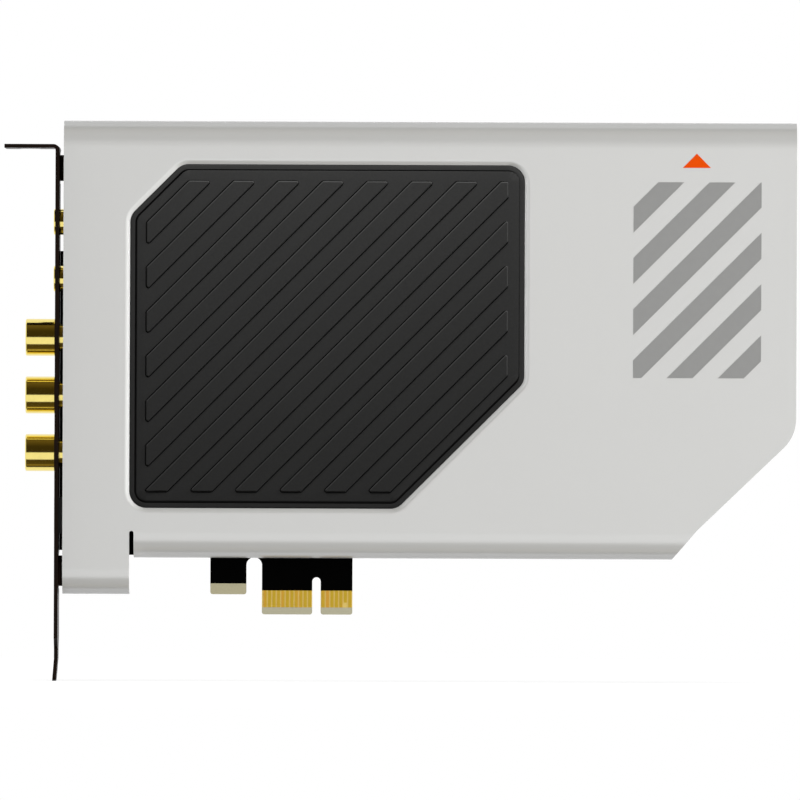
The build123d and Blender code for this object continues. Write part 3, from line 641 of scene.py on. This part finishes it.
def inset(points, distance, groove=0.0):
    """Convex anticlockwise outline moved in by distance, and by each edge's share of a groove's width."""
    moved = []
    count = len(points)
    for k in range(count):
        before, here, after = points[k - 1], points[k], points[(k + 1) % count]
        sides = []
        for run in (here - before, after - here):
            inward = Vector((-run.y, run.x)).normalized()
            sides.append((inward, distance + groove * groove_share(-inward)))
        (first, a), (second, b) = sides
        lean = first.dot(second)
        spread_out = 1 - lean * lean
        moved.append(here + (first * (a - lean * b) + second * (b - lean * a)) / spread_out)
    return moved


def rounded(points, radius, steps):
    """Convex anticlockwise outline with each corner an arc of steps + 1 points."""
    ring = []
    count = len(points)
    for k in range(count):
        before, here, after = points[k - 1], points[k], points[(k + 1) % count]
        back = (before - here).normalized()
        ahead = (after - here).normalized()
        half = math.acos(max(-1.0, min(1.0, back.dot(ahead)))) / 2
        centre = here + (back + ahead).normalized() * (radius / math.sin(half))
        start = here + back * (radius / math.tan(half)) - centre
        turn = math.pi - 2 * half
        for step in range(steps + 1):
            angle = turn * step / steps
            spun = Vector((start.x * math.cos(angle) - start.y * math.sin(angle),
                           start.x * math.sin(angle) + start.y * math.cos(angle)))
            ring.append(centre + spun)
    return ring


def add_ring(bm, points, y):
    """Vertices of an outline in X and Z at depth y."""
    return [bm.verts.new((p.x, y, p.y)) for p in points]


def bridge(bm, first, second):
    """Band of faces between two rings with as many points."""
    count = len(first)
    for k in range(count):
        n = (k + 1) % count
        bm.faces.new((first[k], first[n], second[n], second[k]))


def loop_edges(bm, ring):
    """Edges that join a ring's points."""
    return [bm.edges.get((a, b)) for a, b in zip(ring, ring[1:] + ring[:1])]


def lathe(bm, centre, axis, profile, steps):
    """Rings about an axis through centre, from (distance along it, radius) points, and bands between."""
    first, second = [k for k in range(3) if k != axis]
    rings = []
    for along, radius in profile:
        ring = []
        for k in range(steps):
            angle = 2 * math.pi * k / steps
            place = Vector(centre)
            place[axis] = along
            place[first] += radius * math.cos(angle)
            place[second] += radius * math.sin(angle)
            ring.append(bm.verts.new(place))
        rings.append(ring)
    for a, b in zip(rings, rings[1:]):
        bridge(bm, a, b)
    return rings


def terraced(bm, outline, levels, corner_r, corner_steps):
    """Rings round an outline, from (distance in, groove's width in, depth) levels, and bands between."""
    rings = []
    for distance, groove, y in levels:
        ring = rounded(inset(outline, distance, groove), corner_r - distance - groove, corner_steps)
        rings.append(add_ring(bm, ring, y))
    for a, b in zip(rings, rings[1:]):
        bridge(bm, a, b)
    return rings


def prism(bm, points, y_front, y_rear):
    """Closed slab of an outline between two depths."""
    front = add_ring(bm, points, y_front)
    rear = add_ring(bm, points, y_rear)
    bridge(bm, front, rear)
    bm.faces.new(front)
    bm.faces.new(rear)


def panel_corners():
    """Corners of the insert panel's outline, anticlockwise in X and Z."""
    low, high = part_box("insert_panel")
    left, right = low.x + PANEL_LIP, high.x - PANEL_LIP
    bottom, top = low.z + PANEL_LIP, high.z - PANEL_LIP
    return [
        Vector((left, bottom)),
        Vector((right - PANEL_BOTTOM_CHAMFER, bottom)),
        Vector((right, bottom + PANEL_BOTTOM_CHAMFER)),
        Vector((right, top)),
        Vector((left + PANEL_TOP_CHAMFER, top)),
        Vector((left, top - PANEL_TOP_CHAMFER)),
    ]


def stripe_outlines(corners):
    """Outlines of the panel's slanting stripes."""
    across = Vector((1, -1)).normalized()
    field = inset(corners, STRIPE_MARGIN)
    lowest = min(p.dot(across) for p in corners)
    span = max(p.dot(across) for p in corners) - lowest
    pitch = STRIPE_PITCH * DIAGONAL
    width = STRIPE_W * DIAGONAL
    count = int((span - STRIPE_MARGIN * 2 - width) / pitch) + 1
    first = lowest + (span - pitch * (count - 1)) / 2
    outlines = []
    for k in range(count):
        middle = first + pitch * k
        strip = clipped(clipped(field, across, middle + width / 2), -across, width / 2 - middle)
        outlines.append(strip)
    return outlines


def panel_levels(face, rear):
    """The panel from its rear to its face: lip, rounded edge and border groove."""
    lip = rear - PANEL_LIP_T
    floor_y = face + BORDER_DEPTH
    bend = PANEL_EDGE * PANEL_EDGE_BEND
    return [
        (-PANEL_LIP, 0.0, rear),
        (-PANEL_LIP, 0.0, lip),
        (PANEL_FIT, 0.0, lip),
        (PANEL_FIT, 0.0, face + PANEL_EDGE),
        (PANEL_FIT + bend, 0.0, face + bend),
        (PANEL_FIT + PANEL_EDGE, 0.0, face),
        (BORDER_INSET, 0.0, face),
        (BORDER_INSET, BORDER_W * BORDER_DRAFT, floor_y),
        (BORDER_INSET, BORDER_W * (1 - BORDER_DRAFT), floor_y),
        (BORDER_INSET, BORDER_W, face + FIELD_EDGE / 2),
        (BORDER_INSET + FIELD_EDGE, BORDER_W, face),
    ]


def stripe_levels(face, top):
    """A stripe from the panel's face to its own top: groove and rounded edge."""
    floor_y = face + STRIPE_GROOVE_DEPTH
    return [
        (0.0, -STRIPE_GROOVE, face),
        (0.0, -STRIPE_GROOVE * (1 - STRIPE_GROOVE_DRAFT), floor_y),
        (0.0, -STRIPE_GROOVE * STRIPE_GROOVE_DRAFT, floor_y),
        (0.0, 0.0, face),
        (STRIPE_EDGE * STRIPE_EDGE_BEND, 0.0, top + STRIPE_RAISE * STRIPE_EDGE_BEND),
        (STRIPE_EDGE, 0.0, top),
    ]


def insert_panel():
    """Panel with a rounded edge, a border groove and stripes that each stand in a fine groove."""
    low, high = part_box("insert_panel")
    top = low.y
    face = top + STRIPE_RAISE
    corners = panel_corners()
    bm = bmesh.new()
    rings = terraced(bm, corners, panel_levels(face, high.y), PANEL_CORNER_R, CORNER_STEPS)
    bm.faces.new(rings[0])
    edges = loop_edges(bm, rings[-1])
    for outline in stripe_outlines(corners):
        rings = terraced(bm, outline, stripe_levels(face, top), STRIPE_CORNER_R, STRIPE_STEPS)
        bm.faces.new(rings[-1])
        edges += loop_edges(bm, rings[0])
    bmesh.ops.triangle_fill(bm, edges=edges, use_beauty=True)
    mesh = shaded(bm, "panel_insert")
    return weighted(piece("panel_insert", mesh, charcoal, ["insert_panel"]))


def shroud_print():
    """Grey hatched bars and the orange arrow, printed on the shroud's face."""
    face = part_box("front_shroud")[0].y
    x0, x1, z0, z1 = HATCH
    box = [Vector((x0, z0)), Vector((x1, z0)), Vector((x1, z1)), Vector((x0, z1))]
    across = Vector((1, -1))
    bm = bmesh.new()
    for k in range(HATCH_BARS):
        start = HATCH_FIRST + HATCH_PITCH * k
        bar = clipped(clipped(box, across, start + HATCH_W), -across, -start)
        prism(bm, bar, face - PRINT_T, face)
    piece("hatch_print", shaded(bm, "hatch_print"), grey_ink)
    x, z = ARROW_TIP
    half = ARROW_W / 2
    arrow = [Vector((x - half, z - ARROW_H)), Vector((x + half, z - ARROW_H)), Vector((x, z))]
    bm = bmesh.new()
    prism(bm, arrow, face - PRINT_T, face)
    piece("arrow_print", shaded(bm, "arrow_print"), orange_ink)


def arc(x, r, radius, first, last):
    """Points of a round edge in a turned profile, from one angle to another in degrees."""
    points = []
    for step in range(ARC_STEPS + 1):
        angle = math.radians(first + (last - first) * step / ARC_STEPS)
        points.append((x + radius * math.cos(angle), r + radius * math.sin(angle)))
    return points


def turned(name, source, profile, material):
    """Ring turned about the axis of the node it stands for, from a closed profile of (x, radius) points."""
    low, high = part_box(source)
    bm = bmesh.new()
    rings = lathe(bm, (low + high) / 2, 0, profile, LATHE_STEPS)
    bridge(bm, rings[-1], rings[0])
    return weighted(piece(name, shaded(bm, name), material, [source]))


def rca_shells():
    """Gold shells of the phono sockets with rounded rims."""
    for number in SOCKETS:
        source = f"rca_shell_{number}"
        low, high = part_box(source)
        outer = (high.z - low.z) / 2
        inner = outer - RCA_WALL
        cup = BRACKET_FACE - RCA_WALL
        throat = RCA_NECK_R - RCA_WALL
        rim, lip = RCA_RIM_R, RCA_LIP_R
        profile = arc(low.x + lip, inner + lip, lip, 270, 180)
        profile += arc(low.x + rim, outer - rim, rim, 180, 90)
        profile += arc(BRACKET_FACE - lip, outer - lip, lip, 90, 0)
        profile += [(BRACKET_FACE, RCA_NECK_R), (high.x, RCA_NECK_R)]
        profile += [(high.x, throat), (cup, throat), (cup, inner)]
        turned(f"phono_shell_{number}", source, profile, gold)


def jack_collars():
    """Gold collars of the jacks with rounded mouths, and a dark core behind each."""
    for label in JACKS:
        source = label + "_jack_collar"
        low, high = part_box(source)
        outer = (high.z - low.z) / 2
        inner = JACK_BORE_R
        edge = COLLAR_EDGE_R
        profile = arc(low.x + edge, inner + edge, edge, 270, 180)
        profile += arc(low.x + edge, outer - edge, edge, 180, 90)
        profile += [(high.x, outer), (high.x, inner)]
        turned(label + "_collar", source, profile, bright_gold)
        bm = bmesh.new()
        core = [(high.x + JACK_CORE_T * 2, JACK_CORE_R), (high.x + JACK_CORE_T, JACK_CORE_R)]
        for ring in lathe(bm, (low + high) / 2, 0, core, LATHE_STEPS):
            bm.faces.new(ring)
        piece(label + "_core", shaded(bm, label + "_core"), moulding)


def cross(half_width, reach):
    """Outline of a cross recess, anticlockwise."""
    quarter = [(reach, -half_width), (reach, half_width), (half_width, half_width)]
    points = []
    for c, s in ((1, 0), (0, 1), (-1, 0), (0, -1)):
        points += [Vector((c * x - s * y, s * x + c * y)) for x, y in quarter]
    return points


def screws(source, name):
    """Pan-head screws with a domed head and a cross recess."""
    bm = bmesh.new()
    for low, high in islands(source):
        centre = (low + high) / 2
        middle = Vector((centre.x, centre.z))
        radius = (high.x - low.x) / 2
        seat = high.y - SCREW_HEAD_H
        dome = SCREW_HEAD_H - SCREW_SKIRT
        profile = [(low.y, SCREW_SHANK_R), (seat, SCREW_SHANK_R), (seat, radius)]
        for step in range(ARC_STEPS + 1):
            angle = math.pi / 2 * step / ARC_STEPS
            r = SCREW_FLAT_R + (radius - SCREW_FLAT_R) * math.cos(angle)
            profile.append((seat + SCREW_SKIRT + dome * math.sin(angle), r))
        rings = lathe(bm, centre, 1, profile, SCREW_STEPS)
        bm.faces.new(rings[0])
        recess = add_ring(bm, [middle + p for p in cross(*CROSS_TOP)], high.y)
        bottom = add_ring(bm, [middle + p for p in cross(*CROSS_FLOOR)], high.y - CROSS_DEPTH)
        bridge(bm, recess, bottom)
        bm.faces.new(bottom)
        edges = loop_edges(bm, rings[-1]) + loop_edges(bm, recess)
        bmesh.ops.triangle_fill(bm, edges=edges, use_beauty=True)
    return piece(name, shaded(bm, name), steel, [source])


def solder_joints():
    """Tinned pad and solder cone round each lead end."""
    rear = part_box("main_board")[1].y
    bm = bmesh.new()
    profile = [(rear + height * MM, radius * MM) for height, radius in JOINT_PROFILE]
    for low, high in islands("lead_ends"):
        rings = lathe(bm, (low + high) / 2, 1, profile, JOINT_STEPS)
        bm.faces.new(rings[-1])
    return piece("solder_joints", shaded(bm, "solder_joints"), tin)


def cuboid(bm, centre, size):
    """Box about a centre."""
    made = bmesh.ops.create_cube(bm, size=1.0)["verts"]
    bmesh.ops.scale(bm, verts=made, vec=size)
    bmesh.ops.translate(bm, verts=made, vec=centre)


def rear_parts():
    """Small capacitors on the board's rear, behind the chips that they serve."""
    length, width, height = REAR_PART
    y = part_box("main_board")[1].y + height / 2
    body_size = (length - REAR_CAP * 2, height, width)
    cap_size = (REAR_CAP, height + REAR_CAP_PROUD, width + REAR_CAP_PROUD)
    bodies, caps = bmesh.new(), bmesh.new()
    for name, columns, rows in REAR_GROUPS:
        low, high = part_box(name)
        for column in range(columns):
            for row in range(rows):
                x = low.x + (high.x - low.x) * (column + 0.5) / columns
                z = low.z + (high.z - low.z) * (row + 0.5) / rows
                cuboid(bodies, (x, y, z), body_size)
                for side in (-1, 1):
                    cuboid(caps, (x + side * (length - REAR_CAP) / 2, y, z), cap_size)
    piece("rear_capacitors", shaded(bodies, "rear_capacitors"), ceramic)
    piece("rear_capacitor_ends", shaded(caps, "rear_capacitor_ends"), tin)


def plain_nodes():
    """Materials of the solids that show as they are."""
    contacts = [f"rca_contact_{number}" for number in SOCKETS]
    insulators = [f"rca_insulator_{number}" for number in SOCKETS]
    jack_bodies = [label + "_jack_body" for label in JACKS]
    looks = {
        pad_gold: ["edge_contacts"],
        contact_gold: contacts,
        moulding: ["rca_housing", "front_panel_header", *insulators, *jack_bodies],
        epoxy: ["audio_processor", "bus_chip", "output_converter", "input_converter",
                "headphone_amplifier", "op_amps", "flash_memory", "voltage_regulators"],
        sleeve: ["electrolytic_capacitors"],
        ferrite: ["chip_resistors"],
        brass: ["shroud_standoffs"],
        tin: ["lead_ends"],
    }
    for material, names in looks.items():
        for name in names:
            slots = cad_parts[name].data.materials
            slots.clear()
            slots.append(material)


def board_faces():
    """Front, rear and cut edges of the board, each with a material of its own."""
    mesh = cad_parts["main_board"].data
    mesh.materials.clear()
    for material in (front_mask, rear_mask, laminate_edge):
        mesh.materials.append(material)
    for face in mesh.polygons:
        if face.normal.y < FRONT_FACING:
            face.material_index = 0
        elif face.normal.y > REAR_FACING:
            face.material_index = 1
        else:
            face.material_index = 2


def studio_world():
    """White to the camera; to reflections a room, white behind, dark in front with a low bright strip."""
    world = bpy.data.worlds.new("studio")
    scene.world = world
    world.cycles.sampling_method = "NONE"
    world.use_nodes = True
    tree = world.node_tree
    tree.nodes.clear()
    direction = node(tree, "SeparateXYZ", {0: node(tree, "TexCoord").outputs["Generated"]})
    x, y, z = (direction.outputs[k] for k in range(3))
    angle = compute(tree, "ARCTAN2", z, compute(tree, "MULTIPLY", y, -1.0))
    turn = compute(tree, "ADD", compute(tree, "DIVIDE", angle, 2 * math.pi), 0.5)
    stops = []
    for degrees, level in ROOM:
        stops.append((degrees / 360 + 0.5, level if level == 1.0 else scaled(DARK_TINT, level)))
    sideways = ramp(tree, compute(tree, "ABSOLUTE", x), ROOM_SIDES)
    room = mix(tree, sideways, ramp(tree, turn, stops), WHITE)
    path = node(tree, "LightPath").outputs
    reflected = mix(tree, path["Is Glossy Ray"], opaque((AMBIENT,) * 3), room)
    shown = mix(tree, path["Is Camera Ray"], reflected, WHITE)
    background = node(tree, "Background", {"Color": shown})
    output = node(tree, "OutputWorld")
    tree.links.new(background.outputs[0], output.inputs[0])


def lamp(name, place, aim, size, power):
    """Square soft box that points at aim, unseen by the camera and by reflections."""
    light = bpy.data.lights.new(name, "AREA")
    light.size = size
    light.energy = power
    made = bpy.data.objects.new(name, light)
    scene.collection.objects.link(made)
    made.location = place
    made.rotation_mode = "QUATERNION"
    made.rotation_quaternion = (Vector(aim) - Vector(place)).to_track_quat("-Z", "Y")
    made.visible_glossy = False
    made.visible_camera = False
    return made


def receivers(name, target, state):
    """Collection that links lamps to one object alone, or to everything but that object."""
    targets = bpy.data.collections.new(name)
    targets.objects.link(target)
    targets.collection_objects[0].light_linking.link_state = state
    return targets


def lights(panel, ground):
    """Key, side lights and soft fills; the panel has two lamps and the floor a flood of their own."""
    around = receivers("all_but_panel", panel, "EXCLUDE")
    for name, place, size, power in LAMPS:
        lamp(name, place, LAMP_AIM, size, power).light_linking.receiver_collection = around
    low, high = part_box("insert_panel")
    centre = Vector(((low.x + high.x) / 2, low.y, (low.z + high.z) / 2))
    top_edge = Vector((centre.x, low.y, high.z))
    alone = receivers("panel_alone", panel, "INCLUDE")
    for name, place, power in (
        ("panel_sheen", top_edge + SHEEN_OFFSET, SHEEN_POWER),
        ("panel_side", centre + SIDE_OFFSET, SIDE_POWER),
    ):
        links = lamp(name, place, centre, PANEL_LAMP_SIZE, power).light_linking
        links.receiver_collection = alone
        links.blocker_collection = alone
    name, place, size, power = FLOOD
    flood = lamp(name, place, LAMP_AIM, size, power)
    flood.light_linking.receiver_collection = receivers("floor_alone", ground, "INCLUDE")


def floor_paint():
    """Pale grey that the camera sees as nearly white, so that a shadow stays faint."""
    material = bpy.data.materials.new("floor")
    material.use_nodes = True
    tree = material.node_tree
    tree.nodes.clear()
    pale = node(tree, "BsdfDiffuse", {"Color": opaque(FLOOR_GREY)})
    white = node(tree, "Emission", {"Color": WHITE, "Strength": 1.0})
    seen = node(tree, "LightPath").outputs["Is Camera Ray"]
    share = compute(tree, "MULTIPLY", seen, FLOOR_WHITE_SHARE)
    mixed = node(tree, "MixShader", {0: share, 1: pale.outputs[0], 2: white.outputs[0]})
    output = node(tree, "OutputMaterial")
    tree.links.new(mixed.outputs[0], output.inputs[0])
    return material


def floor():
    """Pale round floor under the bracket's tongue."""
    bm = bmesh.new()
    bmesh.ops.create_circle(bm, cap_ends=True, segments=FLOOR_STEPS, radius=FLOOR_R)
    mesh = bpy.data.meshes.new("floor")
    bm.to_mesh(mesh)
    bm.free()
    mesh.materials.append(floor_paint())
    made = bpy.data.objects.new("floor", mesh)
    scene.collection.objects.link(made)
    made.location = ((cad_box[0].x + cad_box[1].x) / 2, 0.0, cad_box[0].z)
    made.visible_glossy = False
    made.visible_diffuse = False
    made.visible_shadow = False
    return made


def camera():
    """Long lens square onto the component side, rolled as the photograph is."""
    data = bpy.data.cameras.new("camera")
    data.sensor_width = SENSOR
    data.lens = SENSOR * CAMERA_DISTANCE / FIELD_WIDTH
    data.clip_start = CLIP_START
    data.clip_end = CAMERA_DISTANCE * 3
    made = bpy.data.objects.new("camera", data)
    scene.collection.objects.link(made)
    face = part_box("front_shroud")[0].y
    made.location = (FIELD_CENTRE[0], face - CAMERA_DISTANCE, FIELD_CENTRE[1])
    made.rotation_mode = "XYZ"
    made.rotation_euler = (math.pi / 2, -CAMERA_ROLL, 0.0)
    scene.camera = made


scene.view_settings.view_transform = "Standard"
plain_nodes()
board_faces()
softened("front_shroud", "shroud_shell", SHROUD_EDGE, paint, round_rim)
softened("io_bracket", "slot_bracket", BRACKET_EDGE, black_plate)
softened("film_capacitors", "film_cases", FILM_EDGE, film_red)
softened("output_relays", "relay_cases", RELAY_EDGE, relay_white)
softened("power_coils", "coil_cases", COIL_EDGE, ferrite)
softened("oscillators", "oscillator_cans", CAN_EDGE, can_metal)
softened("optical_socket", "optical_port", PORT_EDGE, moulding)
rca_shells()
jack_collars()
screws("shroud_screws", "shroud_fasteners")
screws("ear_screws", "ear_fasteners")
solder_joints()
rear_parts()
panel = insert_panel()
shroud_print()
studio_world()
lights(panel, floor())
camera()
